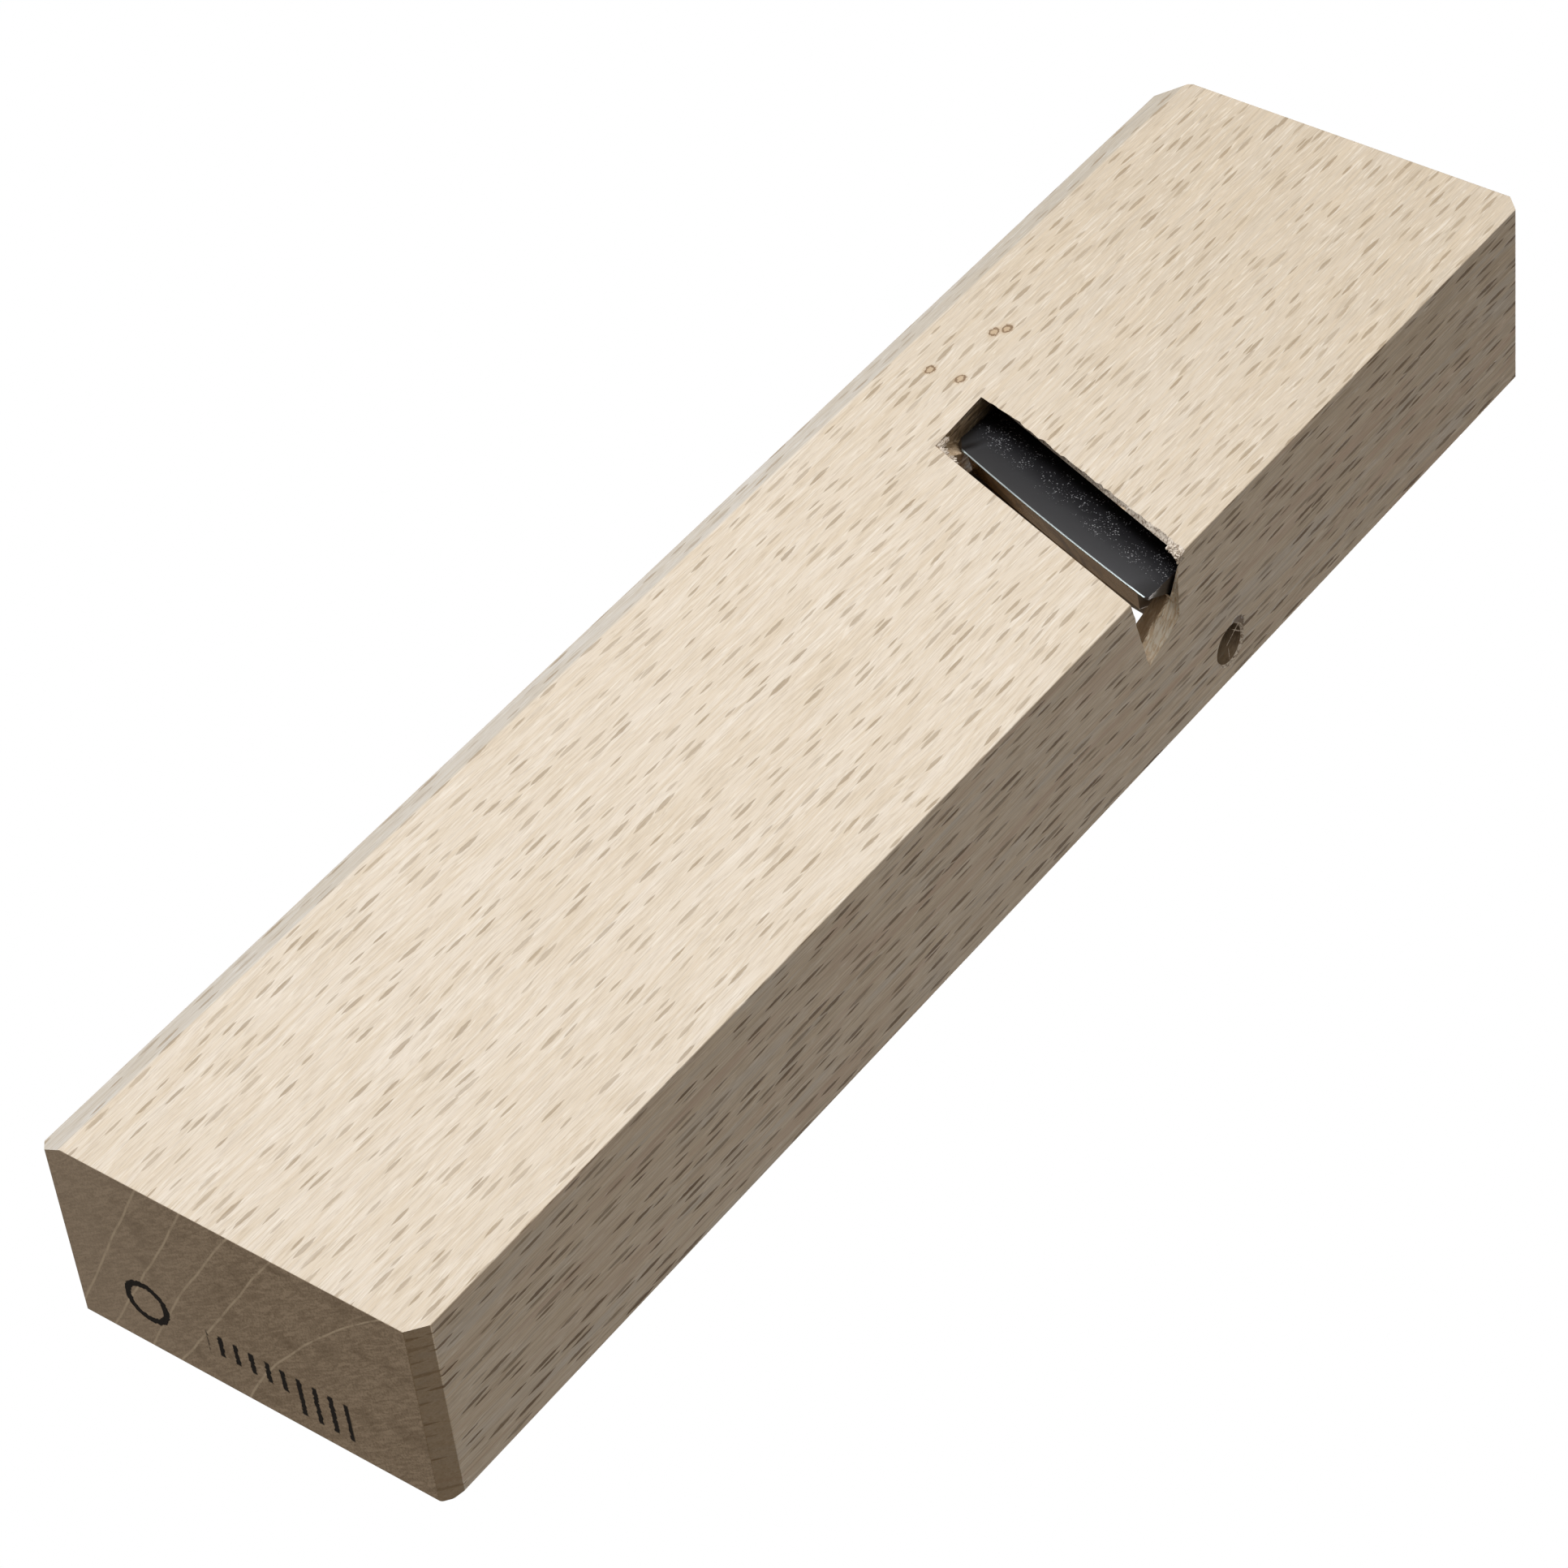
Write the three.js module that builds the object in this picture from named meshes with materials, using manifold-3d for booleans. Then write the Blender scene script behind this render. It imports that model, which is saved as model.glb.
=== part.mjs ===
// Small skew rabbet plane: a beech body, a laminated blade, a chipbreaker and the steel pin
// that presses them down. Millimetres, +Z up, standing on its sole. The origin is the centre
// of the sole, +X points to the long leading end and -Y is the open, rabbeting side.
import * as THREE from 'three';
import { mergeVertices } from 'three/addons/utils/BufferGeometryUtils.js';
import { ConvexGeometry } from 'three/addons/geometries/ConvexGeometry.js';
import Module from 'manifold-3d';

const wasm = await Module();
wasm.setup();
const { degToRad } = THREE.MathUtils;

// Body
const bodyLength = 150;
const bodyHeight = 19;
const innerCheek = 6.6; // wood between the blade's slot and the inner side, at the top
const endChamfer = 0.2; // along the top edges of both ends
const topChamfer = 0.6; // along the top edges of both sides
const soleChamferAcross = 2.7; // inner edge of the sole, so that it can't catch
const soleChamferUp = 1.4;
const cornerLead = { open: [1.6, 1.3], inner: [1.0, 1.0] }; // upright corners, along X and Y
const cornerHeel = { open: [1.4, 1.4], inner: [1.6, 3.3] };

// How the blade lies in the body
const bedAngle = degToRad(38); // slope of the bed, square to the mouth
const skewAngle = degToRad(18); // the mouth, off square to the body
const yawAngle = degToRad(13); // the blade's length, off the body's length in plan
const mouthBehindCentre = 19.2; // the mouth's middle, behind the body's middle
const cornerProud = 0.25; // the blade's side past the open side of the body, at the sole

// Blade
const edgeWidth = 23.2;
const sideTaper = 0.8; // how much wider the head is than the edge
const bladeLength = 52;
const edgeThickness = 3.4;
const wedgeTaper = 0.8; // how much thicker the head is than the edge
const bladeBevel = degToRad(28);
const edgeBow = 0.6; // the cutting edge's middle ahead of its ends
const edgeRecess = 1; // the edge's middle above the sole, as stored
const openClip = 0.5; // how deep the edge's two corners are ground off
const innerClip = 0.6;
const headRound = 4;
const hollow = { width: 15, length: 26, depth: 0.3, behindEdge: 4 };

// Chipbreaker
const chipLength = 40;
const chipThickness = 1.9;
const chipSetback = 1.2; // its edge behind the blade's edge
const chipBevel = degToRad(32);
const chipRelief = 0.6; // hollow of its underside
const chipLand = 6; // flat behind its edge, where the underside is full
const earWidth = 4; // the two bent corners that press on the blade
const earLength = 5;
const chipHeadRound = 3;

// Pin
const pinRadius = 1.5;
const pinCover = 4.2; // from the top of the body down to the pin's centre, on the open side
const pinRecess = 2.5; // the pin's end below the open side
const pinSeat = 6; // its other end, inside the inner cheek
const pinChamfer = 0.4;

// Throat
const grooveDepth = 1; // how far each cheek laps over the blade's sides
const lipHeight = 5; // the steep part of the front wall
const lipLean = degToRad(8); // off upright
const frontSlope = degToRad(54); // the front wall above that, off level

// Chip escape on the open side
const escapeTip = { back: 2.0, up: 8.2 }; // behind the lip, above the sole
const escapeHeel = { ahead: 0.2, up: 6.3 }; // ahead of the bed line, above the sole
const escapeDepth = 3.6;
const escapeDrop = 1.5; // its roof comes down this much on the way in

// Clearances
const fit = 0.3; // between two pieces that touch
const lipGap = 0.2; // over the blade's face
const openGap = 0.25; // beside the blade, open side
const innerGap = 0.65; // beside the blade, inner side
const over = 1; // how far a cut runs past the surface it opens
const arcSteps = 960; // round the cones that grind the two edges
const roundSteps = 32; // round the pin and its hole

// Directions: forward and square to the mouth, along the mouth, and the blade's own three.
const up = new THREE.Vector3(0, 0, 1);
const ahead = new THREE.Vector3(Math.cos(skewAngle), Math.sin(skewAngle), 0);
const along = new THREE.Vector3().crossVectors(ahead, up);
const face = ahead.clone().multiplyScalar(Math.sin(bedAngle)).addScaledVector(up, Math.cos(bedAngle));
const rise = new THREE.Vector3(
  -Math.cos(yawAngle), Math.sin(yawAngle), Math.cos(skewAngle + yawAngle) * Math.tan(bedAngle)).normalize();
const across = new THREE.Vector3().crossVectors(rise, face);
const edgeAngle = Math.atan2(-along.dot(rise), -along.dot(across)); // the edge, off square to the sides

// Places that several pieces share. The blade's frame has X across, Y up its length and Z off
// its face, and its origin is the middle of the blade where its face meets the sole.
const edgeHalf = edgeWidth / 2;
const headWidth = edgeWidth + sideTaper;
const headThickness = edgeThickness + wedgeTaper;
const bedRun = bodyHeight / rise.z; // along the blade from the sole to the top
const centreInset = edgeHalf * along.y / along.dot(across) - cornerProud; // in from the open side
const bodyWidth = centreInset + bedRun * rise.y + (halfWidth(bedRun) + innerGap) * across.y + innerCheek;
const openSide = -bodyWidth / 2;
const bedOrigin = new THREE.Vector3(-mouthBehindCentre, openSide + centreInset, 0);
const bedFrame = new THREE.Matrix4().makeBasis(across, rise, face).setPosition(bedOrigin);

const chordAt = (edgeRecess + edgeBow * Math.sin(bedAngle)) / rise.z; // the edge's chord, up the blade
const chord = edgeWidth / Math.cos(edgeAngle);
const edgeRadius = (chord * chord / 4 + edgeBow * edgeBow) / (2 * edgeBow);
const edgeCentre = new THREE.Vector2(-Math.sin(edgeAngle), Math.cos(edgeAngle))
  .multiplyScalar(edgeRadius - edgeBow).add(new THREE.Vector2(0, chordAt));
const bladeTop = chordAt + bladeLength;

const throatHalf = edgeHalf - grooveDepth;
const chipHalf = throatHalf - fit;
const chipTop = fit + chipThickness; // above the blade's face
const chipEnd = chordAt + chipSetback + chipLength;
const pinLift = chipTop + fit + pinRadius;
const pinAt = pinPlace();

function halfWidth(y) {
  return (edgeWidth + sideTaper * y / bladeLength) / 2;
}

function thickness(y) {
  return edgeThickness + wedgeTaper * y / bladeLength;
}

// How far up the blade the pin crosses, so that its hole opens pinCover below the top.
function pinPlace() {
  const tilt = across.z / across.y;
  const height = bodyHeight - pinCover - pinLift * face.z;
  return (height + (centreInset + pinLift * face.y) * tilt) / (rise.z - rise.y * tilt);
}

// The open side of the body, measured across the blade from its middle, at the pin.
function pinReach(y) {
  return (y - bedOrigin.y - pinAt * rise.y - pinLift * face.y) / across.y;
}

// ---- Solids ----

function solid(geometry) {
  const bare = geometry.clone();
  bare.deleteAttribute('normal');
  bare.deleteAttribute('uv');
  const merged = mergeVertices(bare);
  return new wasm.Manifold(new wasm.Mesh({
    numProp: 3,
    vertProperties: merged.attributes.position.array,
    triVerts: Uint32Array.from(merged.index.array),
  }));
}

function geometryOf(manifold) {
  const { vertProperties, triVerts } = manifold.getMesh();
  const geometry = new THREE.BufferGeometry();
  geometry.setAttribute('position', new THREE.BufferAttribute(vertProperties, 3));
  geometry.setIndex(new THREE.BufferAttribute(triVerts, 1));
  geometry.computeVertexNormals();
  return geometry;
}

function shape(points) {
  return new THREE.Shape(points.map(([x, y]) => new THREE.Vector2(x, y)));
}

// Extrudes an outline from one distance to another along the third of three directions.
function prism(outline, from, to, directions) {
  const geometry = new THREE.ExtrudeGeometry(outline, { depth: to - from, bevelEnabled: false });
  geometry.translate(0, 0, from);
  return geometry.applyMatrix4(new THREE.Matrix4().makeBasis(...directions));
}

const X = new THREE.Vector3(1, 0, 0);
const Y = new THREE.Vector3(0, 1, 0);
const Z = up;
const PLAN = [X, Y, Z];
const SECTION = [Y, Z, X];
const PROFILE = [Z, X, Y];

// ---- Body ----

function bodyBlank() {
  const halfL = bodyLength / 2;
  const halfW = bodyWidth / 2;
  const corner = (sx, sy, [cx, cy]) => [[sx * (halfL - cx), sy * halfW], [sx * halfL, sy * (halfW - cy)]];
  const plan = shape([
    ...corner(1, -1, cornerLead.open),
    ...corner(1, 1, cornerLead.inner).reverse(),
    ...corner(-1, 1, cornerHeel.inner),
    ...corner(-1, -1, cornerHeel.open).reverse(),
  ]);
  const section = shape([
    [-halfW, 0], [halfW - soleChamferAcross, 0], [halfW, soleChamferUp],
    [halfW, bodyHeight - topChamfer], [halfW - topChamfer, bodyHeight],
    [-halfW + topChamfer, bodyHeight], [-halfW, bodyHeight - topChamfer],
  ]);
  const profile = shape([
    [-over, -halfL], [bodyHeight - endChamfer, -halfL], [bodyHeight, -halfL + endChamfer],
    [bodyHeight, halfL - endChamfer], [bodyHeight - endChamfer, halfL], [-over, halfL],
  ]);
  return solid(prism(plan, -over, bodyHeight + over, PLAN))
    .intersect(solid(prism(section, -halfL - over, halfL + over, SECTION)))
    .intersect(solid(prism(profile, -halfW - over, halfW + over, PROFILE)));
}

// The slanting slot that the blade slides in, wide and thick by its clearances.
function bladeSlot() {
  const low = -bladeLength;
  const high = 2 * bladeLength;
  const sides = shape([
    [-halfWidth(low) - openGap, low], [halfWidth(low) + innerGap, low],
    [halfWidth(high) + innerGap, high], [-halfWidth(high) - openGap, high],
  ]);
  const wedge = shape([
    [low, -thickness(low) - fit], [high, -thickness(high) - fit], [high, lipGap], [low, lipGap],
  ]);
  return solid(prism(sides, -bodyHeight, bodyHeight, PLAN).applyMatrix4(bedFrame))
    .intersect(solid(prism(wedge, -headWidth, headWidth, SECTION).applyMatrix4(bedFrame)));
}

// The chip space above the blade's face, between the two cheeks.
function throat() {
  const lip = lipGap / Math.sin(bedAngle);
  const shoulder = lip + lipHeight * Math.tan(lipLean);
  const high = bodyHeight + over;
  const outline = shape([
    [lip, -over], [lip, 0], [shoulder, lipHeight],
    [shoulder + (high - lipHeight) / Math.tan(frontSlope), high],
    [-high / Math.tan(bedAngle), high], [-edgeThickness / 2, -over],
  ]);
  const space = prism(outline, -bodyWidth, bodyWidth, [ahead, up, along]);
  const between = new THREE.BoxGeometry(2 * throatHalf, 4 * bladeLength, 4 * bladeLength);
  return solid(space.translate(...bedOrigin)).intersect(solid(between.applyMatrix4(bedFrame)));
}

// The flared way out for chips, through the open cheek beside the blade's corner.
function chipEscape() {
  const level = Math.sin(bedAngle) * Math.cos(skewAngle); // off the face, for each step along X
  const lipX = bedOrigin.x + centreInset * Math.tan(skewAngle) + lipGap / level;
  const bedX = lipX - (edgeThickness + fit + lipGap) / level;
  const ring = (depth) => {
    const drop = depth * escapeDrop / escapeDepth;
    return [
      [lipX, -over], [lipX, 0], [lipX - escapeTip.back, escapeTip.up - drop],
      [bedX + escapeHeel.ahead, escapeHeel.up - drop], [bedX, -over],
    ].map(([x, z]) => new THREE.Vector3(x - depth * Math.tan(skewAngle), openSide + depth, z));
  };
  return solid(new ConvexGeometry([...ring(-over), ...ring(escapeDepth)]));
}

// The pin's hole: right through the open cheek, and blind in the inner one.
function pinHole() {
  const from = pinReach(openSide - 2 * over);
  const to = throatHalf + pinSeat + fit;
  const hole = new THREE.CylinderGeometry(pinRadius + fit, pinRadius + fit, to - from, roundSteps);
  hole.rotateZ(Math.PI / 2).translate((from + to) / 2, pinAt, pinLift);
  return solid(hole.applyMatrix4(bedFrame));
}

function bodyGeometry() {
  return geometryOf(
    bodyBlank().subtract(bladeSlot()).subtract(throat()).subtract(chipEscape()).subtract(pinHole()));
}

// ---- Blade, chipbreaker and pin, in the blade's frame ----

// A cone whose rim is the bowed edge at one height. Growth is its change of radius with height.
function grindingCone(radius, at, growth) {
  const low = -headThickness - over;
  const high = chipTop + over;
  const rim = (z) => radius + (z - at) * growth;
  const cone = new THREE.CylinderGeometry(rim(high), rim(low), high - low, arcSteps);
  return solid(cone.rotateX(Math.PI / 2).translate(edgeCentre.x, edgeCentre.y, (low + high) / 2));
}

// A plate's outline: straight sides, and a head with two rounded corners.
function plate(lowHalf, highHalf, low, high, round) {
  const outline = new THREE.Shape();
  outline.moveTo(-lowHalf, low).lineTo(lowHalf, low).lineTo(highHalf, high - round);
  outline.quadraticCurveTo(highHalf, high, highHalf - round, high);
  outline.lineTo(round - highHalf, high);
  outline.quadraticCurveTo(-highHalf, high, -highHalf, high - round);
  return outline;
}

// What comes off a corner of the cutting edge: side is -1 on the open side and 1 on the inner.
function cornerWaste(side, depth) {
  const corner = new THREE.Vector2(side * edgeHalf, chordAt + side * edgeHalf * Math.tan(edgeAngle));
  const inward = new THREE.Vector2(-side * Math.cos(edgeAngle), 1 - side * Math.sin(edgeAngle)).normalize();
  const waste = new THREE.BoxGeometry(edgeHalf, edgeHalf, 4 * headThickness);
  corner.addScaledVector(inward, depth - edgeHalf / 2);
  return solid(waste.rotateZ(inward.angle()).translate(corner.x, corner.y, 0));
}

function bladeGeometry() {
  const low = chordAt - edgeWidth;
  const sides = plate(halfWidth(low), halfWidth(bladeTop), low, bladeTop, headRound);
  const wedge = shape([[low, -thickness(low)], [bladeTop, -thickness(bladeTop)], [bladeTop, 0], [low, 0]]);
  const dish = new THREE.SphereGeometry(1, 48, 24);
  dish.scale(hollow.width / 2, hollow.length / 2, hollow.depth);
  dish.translate(0, chordAt + hollow.behindEdge + hollow.length / 2, 0);
  return geometryOf(solid(prism(sides, -2 * headThickness, over, PLAN))
    .intersect(solid(prism(wedge, -headWidth, headWidth, SECTION)))
    .intersect(grindingCone(edgeRadius, 0, 1 / Math.tan(bladeBevel)))
    .subtract(cornerWaste(-1, openClip)).subtract(cornerWaste(1, innerClip))
    .subtract(solid(dish)));
}

function chipbreakerGeometry() {
  const low = chordAt - edgeWidth;
  const sides = plate(chipHalf, chipHalf, low, chipEnd, chipHeadRound);
  const relief = new THREE.BoxGeometry(4 * chipHalf, 2 * chipLength, 2 * chipRelief);
  relief.translate(0, chipLand + chipLength, 0).rotateZ(edgeAngle).translate(0, chordAt + chipSetback, fit);
  const ear = (side) => {
    const block = new THREE.BoxGeometry(2 * earWidth, 2 * earLength, 4 * chipRelief);
    return solid(block.translate(side * chipHalf, chipEnd, fit));
  };
  return geometryOf(solid(prism(sides, fit, chipTop, PLAN))
    .intersect(grindingCone(edgeRadius - chipSetback, fit, -1 / Math.tan(chipBevel)))
    .subtract(solid(relief).subtract(ear(-1)).subtract(ear(1))));
}

function pinGeometry(length) {
  const end = length / 2;
  const profile = [
    [0, -end], [pinRadius - pinChamfer, -end], [pinRadius, -end + pinChamfer],
    [pinRadius, end - pinChamfer], [pinRadius - pinChamfer, end], [0, end],
  ];
  return new THREE.LatheGeometry(profile.map(([x, y]) => new THREE.Vector2(x, y)), roundSteps);
}

// ---- The plane ----

function piece(name, geometry, color, roughness, metalness) {
  const mesh = new THREE.Mesh(geometry, new THREE.MeshStandardMaterial({ color, roughness, metalness }));
  mesh.name = name;
  return mesh;
}

const plane = new THREE.Group();
const bed = new THREE.Group();
bed.applyMatrix4(bedFrame);

const pinFrom = pinReach(openSide + pinRecess);
const pinTo = throatHalf + pinSeat;
const pin = piece('pressing_pin', pinGeometry(pinTo - pinFrom), 0x8f8978, 0.45, 1);
pin.position.set((pinFrom + pinTo) / 2, pinAt, pinLift);
pin.rotation.z = Math.PI / 2;

bed.add(
  piece('blade', bladeGeometry(), 0x4a4a4c, 0.5, 1),
  piece('chipbreaker', chipbreakerGeometry(), 0x6a6660, 0.4, 1),
  pin);
plane.add(piece('body', bodyGeometry(), 0xe2d4ba, 0.6, 0), bed);

export default plane;
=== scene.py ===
"""Looks for a small skew rabbet plane: beech body, laminated blade, chipbreaker and pressing pin.

Everything is in metres in the part's own frame: the sole is at Z = 0, +X is the long leading
end and -Y the open side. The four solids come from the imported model, and the pieces made here
are merged copies of them with softened edges, plus the torn wood fibres round the mouth.
"""

import logging
import math
import random
from dataclasses import dataclass
from enum import Enum, IntEnum
from typing import Callable, Iterable, Sequence

import bmesh
import bpy
from mathutils import Matrix, Vector, noise

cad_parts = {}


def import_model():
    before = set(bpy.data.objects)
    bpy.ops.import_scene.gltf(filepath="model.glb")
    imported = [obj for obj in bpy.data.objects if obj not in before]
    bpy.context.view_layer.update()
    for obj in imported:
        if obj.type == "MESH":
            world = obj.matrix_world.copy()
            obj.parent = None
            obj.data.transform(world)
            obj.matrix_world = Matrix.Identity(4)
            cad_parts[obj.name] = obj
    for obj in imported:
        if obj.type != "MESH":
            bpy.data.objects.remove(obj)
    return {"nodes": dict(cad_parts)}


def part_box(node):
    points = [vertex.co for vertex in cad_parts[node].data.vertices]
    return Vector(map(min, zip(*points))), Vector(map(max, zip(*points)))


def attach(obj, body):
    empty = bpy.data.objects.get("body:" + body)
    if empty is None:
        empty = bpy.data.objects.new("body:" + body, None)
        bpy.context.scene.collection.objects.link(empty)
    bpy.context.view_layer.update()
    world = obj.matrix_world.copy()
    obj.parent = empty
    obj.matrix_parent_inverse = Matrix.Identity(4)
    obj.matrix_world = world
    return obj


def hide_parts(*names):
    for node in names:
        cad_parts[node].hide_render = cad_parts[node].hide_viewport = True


Triple = tuple[float, float, float]
Colour = Triple
Spans = tuple[tuple[float, float], ...]
Socket = bpy.types.NodeSocket

MM = 0.001
WELD = 0.001 * MM  # corners this close are one
NEAR = 0.01 * MM  # and this close to a plane are on it

# The blade's edge in millimetres, and the direction off its upper face.
EDGE_MIDDLE = Vector((-19.2, -6.542, 0.0))
FACE = Vector((0.58553, 0.19025, 0.78801))

# Y of the open side, and three corners of the mouth in the sole, in millimetres.
OPEN_SIDE = -18.5
MOUTH_BACK_INNER = Vector((-30.13, 6.73, 0.0))
MOUTH_END_INNER = Vector((-23.06, 6.38, 0.0))
MOUTH_FRONT_INNER = Vector((-22.48, 4.6, 0.0))

log = logging.getLogger("skew_plane")


class Blend(Enum):
    """How one colour is laid over another."""

    OVER = "MIX"
    DARKEN = "MULTIPLY"


class Wood(IntEnum):
    """The kinds of face on the body, by the place of their material."""

    PLANED = 0
    CUT = 1
    TORN = 2


# ---- Shader building ----


class Shader:
    """Adds nodes to one new material, and links them as they are asked for.

    Lengths that its textures take are in millimetres.
    """

    def __init__(self, name: str) -> None:
        """Starts an empty material.

        Args:
            name: The material's name.
        """
        self.material = bpy.data.materials.new(name)
        self.material.use_nodes = True
        self.tree = self.material.node_tree
        self.tree.nodes.clear()
        self.output = self.node("ShaderNodeOutputMaterial")
        coordinates = self.node("ShaderNodeTexCoord")
        self.normal: Socket = coordinates.outputs["Normal"]
        self.place: Socket = self.mapped(coordinates.outputs["Object"], (1000, 1000, 1000))

    def node(self, kind: str, **settings: object) -> bpy.types.Node:
        """Adds one node.

        Args:
            kind: The node's type.
            settings: Properties to set on it.

        Returns:
            The new node.
        """
        made = self.tree.nodes.new(kind)
        for key, value in settings.items():
            setattr(made, key, value)
        return made

    def feed(self, socket: Socket, value: object) -> None:
        """Links a socket to another, or sets its value.

        Args:
            socket: The input.
            value: A socket, a number, or a sequence of numbers.
        """
        if isinstance(value, bpy.types.NodeSocket):
            self.tree.links.new(value, socket)
        else:
            socket.default_value = value

    def math(self, operation: str, *values: object, clamp: bool = False) -> Socket:
        """Adds a Math node.

        Args:
            operation: Its operation.
            values: Its inputs in order, as sockets or numbers.
            clamp: Whether the result is held to 0..1.

        Returns:
            The result.
        """
        made = self.node("ShaderNodeMath", operation=operation, use_clamp=clamp)
        for socket, value in zip(made.inputs, values):
            self.feed(socket, value)
        return made.outputs[0]

    def times(self, *values: object) -> Socket:
        """Multiplies several values.

        Args:
            values: Sockets or numbers.

        Returns:
            Their product.
        """
        result = values[0]
        for value in values[1:]:
            result = self.math("MULTIPLY", result, value)
        return result

    def length(self, first: Socket, second: Socket) -> Socket:
        """Works out the length of a flat vector.

        Args:
            first: One of its parts.
            second: The other.

        Returns:
            The length.
        """
        squares = self.math("ADD", self.times(first, first), self.times(second, second))
        return self.math("SQRT", squares)

    def mapped(
        self,
        vector: Socket,
        scale: Sequence[float],
        offset: Sequence[float] = (0, 0, 0),
        turn: Sequence[float] = (0, 0, 0),
    ) -> Socket:
        """Scales, turns and moves coordinates.

        Args:
            vector: The coordinates.
            scale: Factors along X, Y and Z.
            offset: What is added at the end.
            turn: Rotation in radians.

        Returns:
            The new coordinates.
        """
        made = self.node("ShaderNodeMapping")
        self.feed(made.inputs["Vector"], vector)
        self.feed(made.inputs["Scale"], scale)
        self.feed(made.inputs["Location"], offset)
        self.feed(made.inputs["Rotation"], turn)
        return made.outputs[0]

    def parts(self, vector: Socket) -> tuple[Socket, Socket, Socket]:
        """Takes a vector apart.

        Args:
            vector: The vector.

        Returns:
            Its X, Y and Z.
        """
        made = self.node("ShaderNodeSeparateXYZ")
        self.feed(made.inputs[0], vector)
        return made.outputs[0], made.outputs[1], made.outputs[2]

    def along(self, vector: Socket, direction: Sequence[float]) -> Socket:
        """Measures how far a point lies along a direction.

        Args:
            vector: The point.
            direction: The direction, of length 1.

        Returns:
            The distance.
        """
        made = self.node("ShaderNodeVectorMath", operation="DOT_PRODUCT")
        self.feed(made.inputs[0], vector)
        self.feed(made.inputs[1], tuple(direction))
        return made.outputs["Value"]

    def plus(self, vector: Socket, other: object) -> Socket:
        """Adds two vectors.

        Args:
            vector: The first.
            other: The second, as a socket or three numbers.

        Returns:
            Their sum.
        """
        made = self.node("ShaderNodeVectorMath", operation="ADD")
        self.feed(made.inputs[0], vector)
        self.feed(made.inputs[1], other)
        return made.outputs[0]

    def vector(self, x: object, y: object, z: object) -> Socket:
        """Puts a vector together.

        Args:
            x: Its X, as a socket or a number.
            y: Its Y.
            z: Its Z.

        Returns:
            The vector.
        """
        made = self.node("ShaderNodeCombineXYZ")
        for socket, value in zip(made.inputs, (x, y, z)):
            self.feed(socket, value)
        return made.outputs[0]

    def grain(
        self,
        vector: Socket,
        lengths: Sequence[float],
        detail: float = 2.0,
        rough: float = 0.5,
        distortion: float = 0.0,
        offset: Sequence[float] = (0, 0, 0),
    ) -> Socket:
        """Adds noise whose features have the given lengths.

        Args:
            vector: Coordinates in millimetres.
            lengths: Length of a feature along X, Y and Z.
            detail: Octaves.
            rough: Strength of each further octave.
            distortion: How far it is warped.
            offset: Moves the pattern.

        Returns:
            The noise, near 0.5 on average.
        """
        made = self.node("ShaderNodeTexNoise")
        self.feed(made.inputs["Vector"], self.mapped(vector, [1 / s for s in lengths], offset))
        self.feed(made.inputs["Scale"], 1.0)
        self.feed(made.inputs["Detail"], detail)
        self.feed(made.inputs["Roughness"], rough)
        self.feed(made.inputs["Distortion"], distortion)
        return made.outputs[0]

    def waver(
        self,
        vector: Socket,
        amount: float,
        lengths: Sequence[float],
        detail: float = 2.0,
        rough: float = 0.5,
    ) -> Socket:
        """Adds noise that swings about zero.

        Args:
            vector: Coordinates in millimetres.
            amount: The whole swing.
            lengths: Length of a feature along X, Y and Z.
            detail: Octaves.
            rough: Strength of each further octave.

        Returns:
            The noise.
        """
        swing = self.math("SUBTRACT", self.grain(vector, lengths, detail, rough), 0.5)
        return self.times(swing, amount)

    def step(
        self, value: object, low: object, high: object, start: object = 0.0, end: object = 1.0
    ) -> Socket:
        """Goes smoothly from one number to another as a value rises.

        Args:
            value: What is compared.
            low: Where the rise starts.
            high: Where it ends.
            start: The result below low.
            end: The result above high.

        Returns:
            The result.
        """
        made = self.node("ShaderNodeMapRange", interpolation_type="SMOOTHSTEP", clamp=True)
        for socket, number in zip(made.inputs, (value, low, high, start, end)):
            self.feed(socket, number)
        return made.outputs[0]

    def mix(self, factor: object, first: object, second: object, blend: Blend = Blend.OVER) -> Socket:
        """Lays one colour over another.

        Args:
            factor: How much of the second shows.
            first: The colour beneath.
            second: The colour above.
            blend: How it is laid.

        Returns:
            The mixed colour.
        """
        made = self.node("ShaderNodeMix", data_type="RGBA", blend_type=blend.value, clamp_factor=True)
        self.feed(made.inputs[0], factor)
        for socket, value in ((made.inputs[6], first), (made.inputs[7], second)):
            self.feed(socket, value if isinstance(value, bpy.types.NodeSocket) else (*value, 1.0))
        return made.outputs[2]

    def cells(
        self, scaled: Socket, dimensions: str, randomness: float
    ) -> tuple[bpy.types.Node, Sequence[Socket]]:
        """Adds scattered points, one to a cell of size 1.

        Args:
            scaled: Coordinates in cells.
            dimensions: "3D", or "2D" to use X and Y only.
            randomness: How far a point may be from the middle of its cell, from 0 to 1.

        Returns:
            The node, which tells the nearest point, and three random numbers of that point.
        """
        made = self.node("ShaderNodeTexVoronoi", feature="F1", voronoi_dimensions=dimensions)
        self.feed(made.inputs["Vector"], scaled)
        self.feed(made.inputs["Scale"], 1.0)
        self.feed(made.inputs["Randomness"], randomness)
        split = self.node("ShaderNodeSeparateColor")
        self.feed(split.inputs[0], made.outputs["Color"])
        return made, split.outputs

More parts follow.
